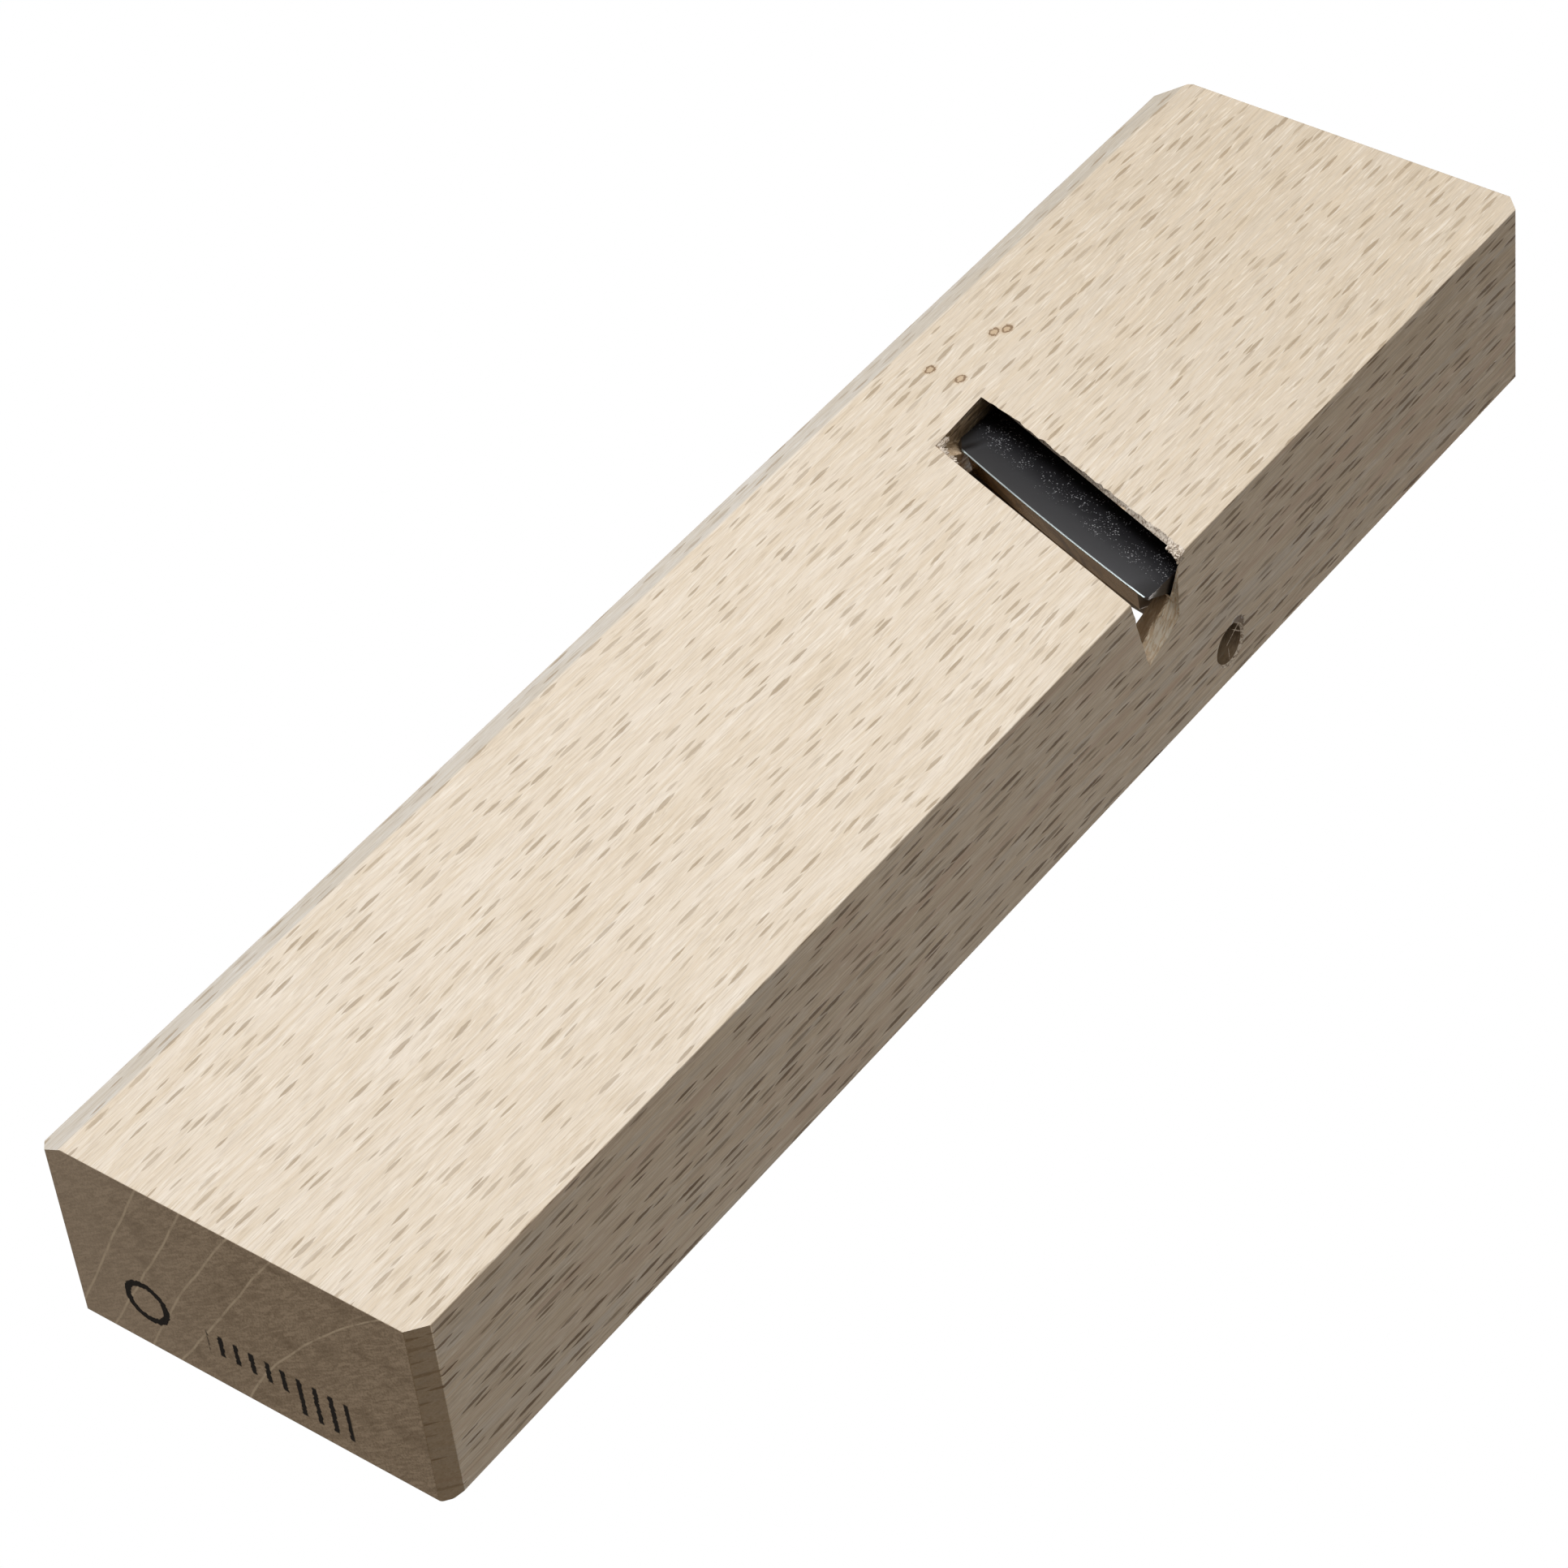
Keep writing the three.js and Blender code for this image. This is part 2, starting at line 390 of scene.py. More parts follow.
    def bump(self, height: Socket, depth: float, under: Socket | None = None) -> Socket:
        """Turns a height into a bent normal.

        Args:
            height: The height from 0 to 1.
            depth: How deep that is, in millimetres.
            under: A normal that is already bent.

        Returns:
            The normal.
        """
        made = self.node("ShaderNodeBump")
        self.feed(made.inputs["Strength"], 1.0)
        self.feed(made.inputs["Distance"], depth * MM)
        self.feed(made.inputs["Height"], height)
        if under is not None:
            self.feed(made.inputs["Normal"], under)
        return made.outputs[0]

    def surface(self, **inputs: object) -> bpy.types.Material:
        """Closes the material with a surface shader.

        Args:
            inputs: The shader's inputs by name, with _ for a space.

        Returns:
            The finished material.
        """
        made = self.node("ShaderNodeBsdfPrincipled")
        for key, value in inputs.items():
            self.feed(made.inputs[key.replace("_", " ")], value)
        self.tree.links.new(made.outputs[0], self.output.inputs[0])
        return self.material


# ---- Finishes ----


@dataclass(frozen=True)
class Fleck:
    """The short dark ray flecks of beech on one kind of face.

    Attributes:
        spacing: Size of the cell that may hold a fleck, along and across the grain, in millimetres.
        half: Half a fleck's length and width, in millimetres.
        keep: Share of the cells that have a fleck.
        depth: How dark a fleck is, from 0 to 1.
        offset: Moves the pattern.
    """

    spacing: tuple[float, float]
    half: tuple[float, float]
    keep: float
    depth: float
    offset: Triple = (0.0, 0.0, 0.0)

    def mask(self, s: Shader, along: Socket, across: Socket, crowd: Socket | float = 0.0) -> Socket:
        """Returns where the flecks are: small lenses with pointed ends.

        Args:
            s: The material being built.
            along: Millimetres along the grain.
            across: Millimetres across it.
            crowd: How many more of the cells have one here.

        Returns:
            0 between flecks, up to 1 in the middle of one.
        """
        place = s.vector(along, across, 0.0)
        scaled = s.mapped(place, (1 / self.spacing[0], 1 / self.spacing[1], 1), self.offset)
        cells, (chance, size, strength) = s.cells(scaled, "2D", 0.9)
        here = s.parts(scaled)
        centre = s.parts(cells.outputs["Position"])
        size = s.step(size, 0.0, 1.0, 0.6, 1.15)
        away = []
        for i in range(2):
            gap = s.times(s.math("SUBTRACT", here[i], centre[i]), self.spacing[i] / self.half[i])
            away.append(s.math("DIVIDE", gap, size))
        ragged = s.waver(place, 0.9, (0.6, 0.09, 1))
        lens = s.math("ADD", s.times(away[0], away[0]), s.math("ABSOLUTE", away[1]))
        body = s.step(s.math("ADD", lens, ragged), 0.75, 1.1, 1.0, 0.0)
        kept = s.step(s.math("ADD", chance, crowd), 1 - self.keep, 1.02 - self.keep)
        return s.times(body, kept, s.step(strength, 0.0, 1.0, 0.6 * self.depth, self.depth))


@dataclass(frozen=True)
class InkMarks:
    """Plain ink marks on the end: a ring, and a row of short strokes like a scale.

    Attributes:
        ring: Y, Z and radius of the ring's line, in millimetres.
        first: Y of the first stroke.
        last: Y of the last one.
        half_pitch: Half the distance between two strokes.
        foot: Z of the strokes' lower ends.
        tall: Z of the long strokes' upper ends.
        low: Z of the short strokes' upper ends.
        change: Y where the short strokes start.
        colour: Colour of the ink.
    """

    ring: Triple = (10.2, 13.6, 1.9)
    first: float = -9.4
    last: float = 4.3
    half_pitch: float = 0.77
    foot: float = 13.0
    tall: float = 17.1
    low: float = 15.3
    change: float = -3.9
    colour: Colour = (0.012, 0.011, 0.011)

    def mask(self, s: Shader, y: Socket, z: Socket) -> Socket:
        """Returns where the ink is.

        Args:
            s: The material being built.
            y: Millimetres across the end.
            z: Millimetres above the sole.

        Returns:
            1 in the ink.
        """
        bleed = s.waver(s.place, 0.5, (1, 0.35, 0.35), 3.0)
        centre_y, centre_z, radius = self.ring
        away = s.length(s.math("ADD", y, -centre_y), s.math("ADD", z, -centre_z))
        ring = s.math("ADD", s.math("ABSOLUTE", s.math("ADD", away, -radius)), bleed)
        between = s.math("PINGPONG", s.math("ADD", y, -self.first), self.half_pitch)
        stroke = s.math("ADD", between, bleed)
        top = s.step(y, self.change, self.change + 0.5, self.tall, self.low)
        row = s.times(
            s.step(z, self.foot - 0.1, self.foot + 0.1),
            s.step(s.math("SUBTRACT", top, z), -0.1, 0.1),
            s.step(y, self.first - 0.3, self.first - 0.1),
            s.step(y, self.last - 0.1, self.last + 0.1, 1.0, 0.0),
        )
        strokes = s.times(s.step(stroke, 0.2, 0.3, 1.0, 0.0), row)
        return s.math("MAXIMUM", s.step(ring, 0.26, 0.36, 1.0, 0.0), strokes)


@dataclass(frozen=True)
class Beech:
    """Beech with its grain along X.

    Attributes:
        name: The material's name.
        pale: Colour of the early wood on the planed faces.
        tan: Colour of the late wood.
        shade: Tint of the flecks on the flat faces.
        side_shade: Tint of the flecks on the sides.
        end: Colour of the end grain.
        pore: Colour of the pores in the end grain.
        dark_corner: Colour laid over the upright corner chamfers, darker than the faces.
        chip_painted_shade: Painted shade where the wood has chipped away; the hollow itself is only a bump.
        rough: How much rough cutting shows, from 0 for a planed face to 1.
        flat_fleck: The flecks on the sole and the top.
        side_fleck: The flecks on the sides.
        knots: X and Y of the pin knots in the sole, in millimetres.
        chip: Where the wood has chipped away beside a hole: X, Z and two radii, in millimetres.
        rays: Pale rays on the end grain, each as a, b and c in Y = a + b Z + c Z^2, in millimetres.
        marks: The ink on the leading end.
    """

    name: str
    pale: Colour = (0.81, 0.745, 0.65)
    tan: Colour = (0.70, 0.60, 0.46)
    shade: Colour = (0.30, 0.215, 0.125)
    side_shade: Colour = (0.21, 0.145, 0.085)
    end: Colour = (0.66, 0.545, 0.41)
    pore: Colour = (0.26, 0.19, 0.12)
    dark_corner: Colour = (0.20, 0.13, 0.06)
    chip_painted_shade: Colour = (0.20, 0.145, 0.095)
    rough: float = 0.0
    flat_fleck: Fleck = Fleck((4.6, 1.15), (1.35, 0.175), 0.80, 0.62)
    side_fleck: Fleck = Fleck((4.4, 1.0), (1.7, 0.19), 0.82, 1.0, (3.3, 1.7, 0.4))
    knots: tuple[tuple[float, float], ...] = ()
    chip: tuple[float, float, float, float] | None = None
    rays: tuple[Triple, ...] = (
        (8.43, 0.5116, 0.0),
        (4.01, 0.5375, 0.0015),
        (-0.60, 0.7018, -0.0053),
        (-4.77, 0.6741, 0.0),
        (-15.04, 1.2194, -0.0195),
    )
    marks: InkMarks = InkMarks()

    def material(self) -> bpy.types.Material:
        """Builds the material.

        Returns:
            The finished material.
        """
        s = Shader(self.name)
        sway = s.waver(s.place, 1.0, (38, 9, 9))
        bent = s.plus(s.place, s.vector(0.0, s.times(sway, 2.4), s.times(sway, 1.4)))
        nx, ny, nz = s.parts(s.normal)
        x, y, z = s.parts(s.place)
        side = s.step(s.math("ABSOLUTE", ny), 0.6, 0.8)
        end = s.step(s.math("ABSOLUTE", nx), 0.55, 0.75)
        streak = s.grain(bent, (10, 0.5, 0.5), 4.0, 0.6, 0.5)
        fine = s.grain(bent, (2.4, 0.13, 0.13), 3.0, 0.55, 0.7, (5, 5, 5))

        colour = self.long_grain(s, bent, side, streak, fine)
        # Painted shade: the inner chamfer along the sole is darkened and cooled to a bluish tint.
        chamfer_painted_shade = s.times(s.step(y, 15.7, 16.2), s.step(nz, 0.0, -0.3))
        colour = s.mix(chamfer_painted_shade, colour, (0.80, 0.84, 0.90), Blend.DARKEN)
        flecks = self.flecks(s, bent, side)
        colour = s.mix(flecks, colour, s.mix(side, self.shade, self.side_shade))
        for knot in self.knots:
            colour = s.mix(s.step(z, 3.0, 1.0), colour, self.knotted(s, colour, x, y, knot))
        colour = s.mix(end, colour, self.end_grain(s, nx))
        # Darker on the upright corner chamfers, where the end meets the sides.
        corner = s.step(s.times(s.math("ABSOLUTE", nx), s.math("ABSOLUTE", ny)), 0.25, 0.45, 0.0, 0.56)
        colour = s.mix(corner, colour, self.dark_corner)

        relief = s.math("SUBTRACT", s.math("ADD", streak, s.times(fine, 0.8)), s.times(flecks, 0.6))
        if self.chip:
            # Painted shade in the chipped hollow beside the pin's hole, which is only a bump.
            gone = s.times(self.chipped(s, x, z), s.step(ny, -0.9, -0.99))
            colour = s.mix(gone, colour, self.chip_painted_shade)
            relief = s.math("SUBTRACT", relief, s.times(gone, 9.0))
        if self.rough:
            colour, relief = self.hacked(s, colour, relief)
        return s.surface(
            Base_Color=colour,
            Roughness=s.step(fine, 0.3, 0.7, 0.52, 0.66),
            Normal=s.bump(relief, 0.02),
            IOR=1.45,
            Specular_IOR_Level=0.35,
        )

    def long_grain(self, s: Shader, bent: Socket, side: Socket, streak: Socket, fine: Socket) -> Socket:
        """Returns the wood's colour along the grain, without its flecks, with painted shade on the sides and
        towards the heel.

        Args:
            s: The material being built.
            bent: Coordinates that sway with the grain.
            side: 1 on the upright sides.
            streak: The grain's long streaks.
            fine: Its fine lines.

        Returns:
            The colour.
        """
        heelward_painted_shade = s.step(s.parts(s.place)[0], 0, -70)
        growth = s.grain(bent, (70, 3.2, 3.2), 2.0, 0.55, 0.4)
        thread = s.grain(bent, (3.2, 0.2, 0.2), 3.0, 0.55, 1.1, (9, 2, 4))
        lines = s.grain(bent, (30, 0.2, 0.2), 3.0, 0.6, 0.2, (2, 6, 1))
        patch = s.grain(bent, (22, 2.0, 1.6), 3.0, 0.55, 0.5, (1, 8, 5))
        colour = s.mix(s.step(growth, 0.35, 0.72, 0.0, 0.4), self.pale, self.tan)
        # Painted shade: the wood is darkened towards the heel.
        colour = s.mix(heelward_painted_shade, colour, (0.80, 0.775, 0.73), Blend.DARKEN)
        # Partly a real difference between the sawn faces, partly painted shade: the upright sides are darker
        # than the flat faces.
        colour = s.mix(side, colour, (0.88, 0.86, 0.82), Blend.DARKEN)
        for factor, layer in (
            (s.step(streak, 0.32, 0.70, 0.0, 0.75), self.tan),
            (s.step(fine, 0.42, 0.72, 0.0, 0.26), self.shade),
            (s.times(side, s.step(lines, 0.46, 0.68, 0.0, 0.42)), self.shade),
            (s.step(thread, 0.52, 0.70, 0.0, 0.4), (0.95, 0.91, 0.84)),
            (s.times(side, s.step(patch, 0.50, 0.72, 0.0, 0.6)), (0.56, 0.42, 0.32)),
            # Painted highlight: pale grey patches on the sides stand in for cool light falling on them.
            (s.times(side, s.step(patch, 0.50, 0.30, 0.0, 0.42)), (0.60, 0.59, 0.565)),
        ):
            colour = s.mix(factor, colour, layer)
        return colour

    def flecks(self, s: Shader, bent: Socket, side: Socket) -> Socket:
        """Returns where the flecks are on the flat faces and on the sides.

        Args:
            s: The material being built.
            bent: Coordinates that sway with the grain.
            side: 1 on the upright sides.

        Returns:
            0 between flecks, up to 1 in the middle of one.
        """
        x = s.parts(s.place)[0]
        _, bent_y, bent_z = s.parts(bent)
        flat = self.flat_fleck.mask(s, x, bent_y, s.step(x, 20, -40, 0.0, 0.12))
        upright = self.side_fleck.mask(s, x, bent_z)
        return s.math("ADD", s.times(flat, s.math("SUBTRACT", 1.0, side)), s.times(upright, side))

    def hacked(self, s: Shader, colour: Socket, relief: Socket) -> tuple[Socket, Socket]:
        """Adds the marks of rough cutting inside the body, darkest towards the mouth, with painted shade in
        the pin's hole and the deep part of the chip escape, and painted light on the chip escape's pale
        fresh cut.

        Args:
            s: The material being built.
            colour: The wood's colour.
            relief: Its height.

        Returns:
            The new colour and the new height.
        """
        x, y, z = s.parts(s.place)
        turned = s.mapped(s.place, (1, 1, 1), (0, 0, 0), (0.5, 0.7, 0.4))
        hack = s.grain(s.place, (2.2, 0.5, 0.9), 5.0, 0.65, 1.2)
        carved = s.grain(turned, (3.0, 0.22, 0.5), 3.0, 0.6, 0.7)
        mouthward = s.times(s.step(z, 10.5, 8.5), self.rough)
        # Painted shade: the cut faces in and by the pin's hole are darkened.
        hole_painted_shade = s.times(s.step(x, -25.3, -25.8), s.step(y, -14.5, -15.5), s.step(z, 9.5, 10.5), 0.75)
        escape = s.times(s.step(x, -25.0, -24.0), s.step(y, -12.0, -14.0), s.step(z, 8.4, 7.4))
        inward = s.math("ADD", y, s.times(hack, 2.0))
        # Pale fresh-cut wood on the chip escape's open end, made as pale as a colour can be, as painted
        # light.
        fresh_cut_and_painted_light = s.mix(s.step(carved, 0.44, 0.58), (1.0, 0.95, 0.84), (0.80, 0.66, 0.49))
        for factor, layer in (
            (s.step(hack, 0.38, 0.72, 0.0, 0.4), (0.44, 0.31, 0.18)),
            (s.times(s.step(hack, 0.42, 0.72, 0.0, 0.7), mouthward), (0.28, 0.18, 0.09)),
            (s.times(s.step(carved, 0.52, 0.68, 0.0, 0.6), mouthward), (0.15, 0.09, 0.045)),
            (s.step(carved, 0.42, 0.28, 0.0, 0.35), (0.92, 0.82, 0.66)),
            (hole_painted_shade, (0.10, 0.065, 0.035)),
            # Painted shade on the deep part of the chip escape, away from the open side.
            (s.times(escape, s.step(inward, -16.2, -15.6), 0.8), (0.20, 0.13, 0.07)),
            (s.times(escape, s.step(inward, -15.7, -16.2), 0.92), fresh_cut_and_painted_light),
        ):
            colour = s.mix(factor, colour, layer)
        relief = s.math("ADD", relief, s.times(hack, 8.0 * self.rough))
        return colour, s.math("SUBTRACT", relief, s.times(carved, 5.0 * self.rough))

    def knotted(self, s: Shader, colour: Socket, x: Socket, y: Socket, at: tuple[float, float]) -> Socket:
        """Adds a pin knot to the sole.

        Args:
            s: The material being built.
            colour: The wood's colour.
            x: Millimetres along the body.
            y: Millimetres across it.
            at: Where the knot is.

        Returns:
            The colour with the knot.
        """
        jag = s.waver(s.place, 0.55, (0.3, 0.3, 0.3), 3.0, 0.7)
        away = s.length(s.times(s.math("ADD", x, -at[0]), 0.75), s.math("ADD", y, -at[1]))
        away = s.math("ADD", away, jag)
        colour = s.mix(s.step(away, 0.2, 0.75, 0.75, 0.0), colour, (0.52, 0.38, 0.23))
        rim = s.step(s.math("ABSOLUTE", s.math("ADD", away, -0.34)), 0.04, 0.12, 0.85, 0.0)
        return s.mix(rim, colour, (0.20, 0.12, 0.06))

    def chipped(self, s: Shader, x: Socket, z: Socket) -> Socket:
        """Returns where the wood is chipped away on the open side.

        Args:
            s: The material being built.
            x: Millimetres along the body.
            z: Millimetres above the sole.

        Returns:
            1 in the chipped place.
        """
        chip_x, chip_z, radius_x, radius_z = self.chip
        jag = s.waver(s.place, 0.7, (0.5, 0.3, 0.3), 3.0, 0.65)
        along = s.times(s.math("ADD", x, -chip_x), 1 / radius_x)
        upward = s.times(s.math("ADD", z, -chip_z), 1 / radius_z)
        return s.step(s.math("ADD", s.length(along, upward), jag), 0.8, 1.05, 1.0, 0.0)

    def end_grain(self, s: Shader, facing: Socket) -> Socket:
        """Returns the colour of the end grain, with its rays and its ink.

        Args:
            s: The material being built.
            facing: The X part of the normal.

        Returns:
            The colour.
        """
        slanted = s.mapped(s.place, (1, 1, 1), (0, 0, 0), (math.radians(-38), 0, 0))
        pores = s.grain(s.place, (1, 0.2, 0.26), 3.0, 0.7)
        brushed = s.grain(slanted, (1, 1.9, 0.34), 3.0, 0.6, 1.0, (2, 0, 0))
        blotch = s.grain(s.place, (1, 3.6, 2.4), 3.0, 0.55, 0.5, (0, 7, 3))
        _, y, z = s.parts(s.place)
        colour: Socket | Colour = self.end
        for factor, layer in (
            (s.step(pores, 0.40, 0.66, 0.0, 0.5), self.pore),
            (s.step(brushed, 0.46, 0.62, 0.0, 0.34), (0.28, 0.205, 0.13)),
            (s.step(brushed, 0.48, 0.36, 0.0, 0.34), (0.84, 0.70, 0.54)),
            (s.step(blotch, 0.50, 0.75, 0.0, 0.45), self.pore),
            (s.step(y, -4, 18, 0.0, 0.3), (0.80, 0.70, 0.58)),
        ):
            colour = s.mix(factor, colour, layer)
        wobble = s.waver(s.place, 0.7, (1, 7.0, 7.0))
        faint = s.step(s.grain(s.place, (1, 0.8, 1.8), 2.0, 0.5, 0.0, (4, 0, 0)), 0.3, 0.6, 0.35, 0.9)
        for a, b, c in self.rays:
            slope = s.math("MULTIPLY_ADD", z, c, b)
            off = s.math("SUBTRACT", s.math("SUBTRACT", y, s.math("MULTIPLY_ADD", z, slope, a)), wobble)
            line = s.step(s.math("ABSOLUTE", off), 0.04, 0.17, 1.0, 0.0)
            colour = s.mix(s.times(faint, line), colour, (0.92, 0.80, 0.62))
        ink = s.times(self.marks.mask(s, y, z), s.step(facing, 0.9, 0.98))
        return s.mix(ink, colour, self.marks.colour)


@dataclass(frozen=True)
class Steel:
    """Steel or iron in one state of finish.

    Attributes:
        name: The material's name.
        colour: Its main colour.
        stain: Colour of its patches.
        patches: How much of it is stained.
        rough: Its roughness where it is clean.
        lines: Lengths of its scratches along X, Y and Z in millimetres.
        pits: Depth of its pits in millimetres.
        dents: Depth of the hammer's dents in millimetres.
    """

    name: str
    colour: Colour
    stain: Colour
    patches: float = 0.5
    rough: float = 0.35
    lines: Triple = (0.2, 0.2, 0.2)
    pits: float = 0.01
    dents: float = 0.0

    def material(self) -> bpy.types.Material:
        """Builds the material.

        Returns:
            The finished material.
        """
        s = Shader(self.name)
        scratch = s.grain(s.place, self.lines, 4.0, 0.6)
        cloud = s.grain(s.place, (3.5, 3.5, 3.5), 4.0, 0.6, 0.8)
        stained = s.step(cloud, 0.62 - 0.3 * self.patches, 0.85 - 0.2 * self.patches)
        colour = s.mix(stained, self.colour, self.stain)
        colour = s.mix(s.step(scratch, 0.45, 0.8, 0.0, 0.35), colour, self.stain)
        worn = s.math("ADD", s.times(cloud, 0.25), s.times(scratch, 0.12))
        hammered = s.bump(s.grain(s.place, (2.6, 2.6, 2.6), 1.0), self.dents)
        return s.surface(
            Base_Color=colour,
            Metallic=1.0,
            Roughness=s.math("ADD", worn, self.rough - 0.18, clamp=True),
            Normal=s.bump(scratch, self.pits, hammered),
        )


@dataclass(frozen=True)
class GroundBevel:
    """The blade's ground bevel: smooth hard steel by the edge, duller speckled iron behind it, its colours
    darkened far below bare steel as painted shade, darkest at the heel.

    Attributes:
        name: The material's name.
        near: Colour by the edge.
        heel_iron_and_painted_shade: Colour at the heel of the bevel, iron darkened almost to black as
            painted shade.
        crumb: Colour of the specks.
        crumb_sizes: How far apart the specks of each kind are, in millimetres.
    """

    name: str = "Bevel_Ground"
    near: Colour = (0.088, 0.091, 0.098)
    heel_iron_and_painted_shade: Colour = (0.016, 0.016, 0.018)
    crumb: Colour = (0.34, 0.35, 0.37)
    crumb_sizes: tuple[float, ...] = (0.13, 0.2)

    def material(self) -> bpy.types.Material:
        """Builds the material.

        Returns:
            The finished material.
        """
        s = Shader(self.name)
        back = s.math("ADD", s.along(s.place, -FACE), FACE.dot(EDGE_MIDDLE))
        depth = s.math("ADD", back, s.waver(s.place, 0.7, (4, 4, 4), 3.0, 0.6))
        # Painted shade: the bevel darkens from the edge towards its heel.
        colour = s.mix(s.step(depth, 0.2, 2.2), self.near, self.heel_iron_and_painted_shade)
        drift = s.grain(s.place, (2.2, 2.2, 2.2), 3.0, 0.6, 0.6, (3, 1, 7))
        band = s.times(s.step(depth, 0.75, 1.25), s.step(depth, 2.7, 3.3, 1.0, 0.25))
        dusty = s.times(band, s.step(drift, 0.28, 0.60))
        crumbs: Socket | float = 0.0
        for size in self.crumb_sizes:
            scaled = s.mapped(s.place, (1 / size, 1 / size, 1 / size), (size, 0, 0))
            cells, (chance, _, _) = s.cells(scaled, "3D", 0.85)
            reach = s.times(s.step(chance, 0.45, 1.0), dusty, 0.42)
            spots = s.step(s.math("SUBTRACT", reach, cells.outputs["Distance"]), 0.0, 0.10)
            crumbs = s.math("MAXIMUM", crumbs, spots)
        colour = s.mix(crumbs, colour, self.crumb)
        sheen = s.step(depth, 0.4, 2.0, 0.34, 0.55)
        return s.surface(Base_Color=colour, Metallic=1.0, Roughness=sheen, Normal=s.bump(crumbs, 0.03))


@dataclass(frozen=True)
class TornFibre:
    """Pale raw fibre where the wood has torn.

    Attributes:
        name: The material's name.
        bright: Colour of a clean fibre.
        dull: Colour of a dusty one.
    """

    name: str = "Beech_Torn"
    bright: Colour = (0.86, 0.79, 0.70)
    dull: Colour = (0.26, 0.19, 0.13)

    def material(self) -> bpy.types.Material:
        """Builds the material.

        Returns:
            The finished material.
        """
        s = Shader(self.name)
        dust = s.grain(s.place, (0.5, 0.2, 0.2), 4.0, 0.65, 0.6)
        return s.surface(
            Base_Color=s.mix(s.step(dust, 0.42, 0.66), self.bright, self.dull),
            Roughness=s.step(dust, 0.3, 0.7, 0.6, 0.8),
            Normal=s.bump(dust, 0.12),
        )


@dataclass(frozen=True)
class FloorPaint:
    """Plain pale floor that shows from above only.

    Attributes:
        name: The material's name.
        tone: Its main colour.
        cloud: The colour it drifts to.
        glow: How much of it is even, and takes no shadow.
    """

    name: str = "Floor_Pale"
    tone: Colour = (0.82, 0.82, 0.815)
    cloud: Colour = (0.79, 0.79, 0.785)
    glow: float = 0.55

    def material(self) -> bpy.types.Material:
        """Builds the material.

        Returns:
            The finished material.
        """
        s = Shader(self.name)
        drift = s.step(s.grain(s.place, (900, 900, 900)), 0.3, 0.7, 0.0, 0.5)
        paint = s.node("ShaderNodeBsdfDiffuse")
        s.feed(paint.inputs["Color"], s.mix(drift, self.tone, self.cloud))
        clear = s.node("ShaderNodeBsdfTransparent")
        glow = s.node("ShaderNodeEmission")
        s.feed(glow.inputs["Color"], (*self.tone, 1.0))
        even = s.node("ShaderNodeMixShader")
        s.feed(even.inputs[0], self.glow)
        s.feed(even.inputs[1], paint.outputs[0])
        s.feed(even.inputs[2], glow.outputs[0])
        sides = s.node("ShaderNodeMixShader")
        s.feed(sides.inputs[0], s.node("ShaderNodeNewGeometry").outputs["Backfacing"])
        s.feed(sides.inputs[1], even.outputs[0])
        s.feed(sides.inputs[2], clear.outputs[0])
        s.feed(s.output.inputs[0], sides.outputs[0])
        return s.material


# ---- Meshes ----


def merged_copy(node: bpy.types.Object, flat: float = 0.6) -> bmesh.types.BMesh:
    """Copies a solid's mesh, joins its corners and clears the lines across its flat faces.

    Args:
        node: The solid.
        flat: Angle in degrees under which two faces become one.

    Returns:
        The copy.
    """
    bm = bmesh.new()
    bm.from_mesh(node.data)
    bmesh.ops.remove_doubles(bm, verts=bm.verts, dist=WELD)
    bmesh.ops.dissolve_limit(bm, angle_limit=math.radians(flat), verts=bm.verts, edges=bm.edges)
    bmesh.ops.recalc_face_normals(bm, faces=bm.faces)
    return bm


def soften(
    bm: bmesh.types.BMesh,
    offset: float,
    wanted: Callable[[bmesh.types.BMEdge], bool],
    segments: int = 2,
    width: bool = False,
) -> list[bmesh.types.BMFace]:
    """Rounds some of a mesh's edges.

    Args:
        bm: The mesh.
        offset: How far in from the edge, in metres.
        wanted: Says which edges.
        segments: Faces across the rounding.
        width: Whether the offset is the new face's width instead, and may pass its neighbours.

    Returns:
        The new faces.
    """
    edges = [e for e in bm.edges if len(e.link_faces) == 2 and wanted(e)]
    made = bmesh.ops.bevel(
        bm,
        geom=edges,
        offset=offset,
        offset_type="WIDTH" if width else "OFFSET",
        affect="EDGES",
        segments=segments,
        profile=0.5,
        material=-1,
        clamp_overlap=not width,
        harden_normals=False,
    )
    return made["faces"]


def piece(
    bm: bmesh.types.BMesh,
    name: str,
    body: str,
    materials: Iterable[bpy.types.Material],
    smooth: float = 30.0,
) -> bpy.types.Object:
    """Makes a finished piece that rides on a body.

    Args:
        bm: Its mesh, which is freed.
        name: Its name.
        body: The body it rides on.
        materials: Its materials in order.
        smooth: Angle in degrees up to which faces are shaded as one.

    Returns:
        The piece.
    """
    mesh = bpy.data.meshes.new(name)
    bm.to_mesh(mesh)
    bm.free()
    for polygon in mesh.polygons:
        polygon.use_smooth = True
    mesh.set_sharp_from_angle(angle=math.radians(smooth))
    made = bpy.data.objects.new(name, mesh)
    bpy.context.scene.collection.objects.link(made)
    for material in materials:
        mesh.materials.append(material)
    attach(made, body)
    return made


def angle_of(edge: bmesh.types.BMEdge) -> float:
    """Returns the turn between an edge's two faces in degrees."""
    return math.degrees(edge.calc_face_angle())


def outer_edge(edge: bmesh.types.BMEdge) -> bool:
    """Picks a plate's long outer edges, but not its ground bevel.

    Args:
        edge: An edge of the plate's mesh.

    Returns:
        True for an edge to round.
    """
    plain = all(f.material_index == 0 for f in edge.link_faces)
    return plain and edge.is_convex and 35 < angle_of(edge) < 120 and edge.calc_length() > 1.5 * MM


# ---- Sub-assemblies ----


